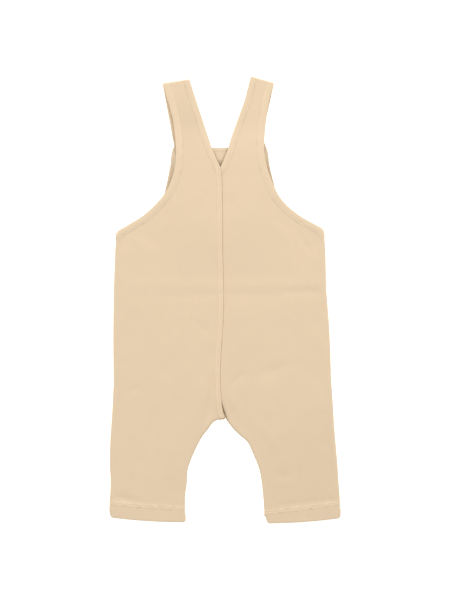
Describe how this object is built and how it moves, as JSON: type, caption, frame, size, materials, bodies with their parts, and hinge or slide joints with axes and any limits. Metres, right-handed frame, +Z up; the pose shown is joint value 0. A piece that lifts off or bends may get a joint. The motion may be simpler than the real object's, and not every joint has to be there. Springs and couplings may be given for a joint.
{
  "type": "baby dungarees",
  "caption": "Baby dungarees in plain cotton lying flat on their front: V back with a felled centre seam, wide straps turned over at the shoulders and buttoned to a bib, and two hemmed legs.",
  "frame": {"origin": "on the surface that the garment lies on, under the middle of its outline", "axes": "+Y runs up the garment from the leg hems to the shoulders, +X to the right as seen from above with the back up, +Z up from the surface through the cloth"},
  "size_m": [0.2624, 0.5015, 0.0076],
  "materials": {
    "cotton": "matte fine twill",
    "button": "satin"
  },
  "bodies": {
    "root": {"back_left": "cotton", "back_right": "cotton", "front_bib": "cotton", "front_leg_left": "cotton", "front_leg_right": "cotton", "button_left": "button", "button_right": "button"}
  },
  "joints": []
}
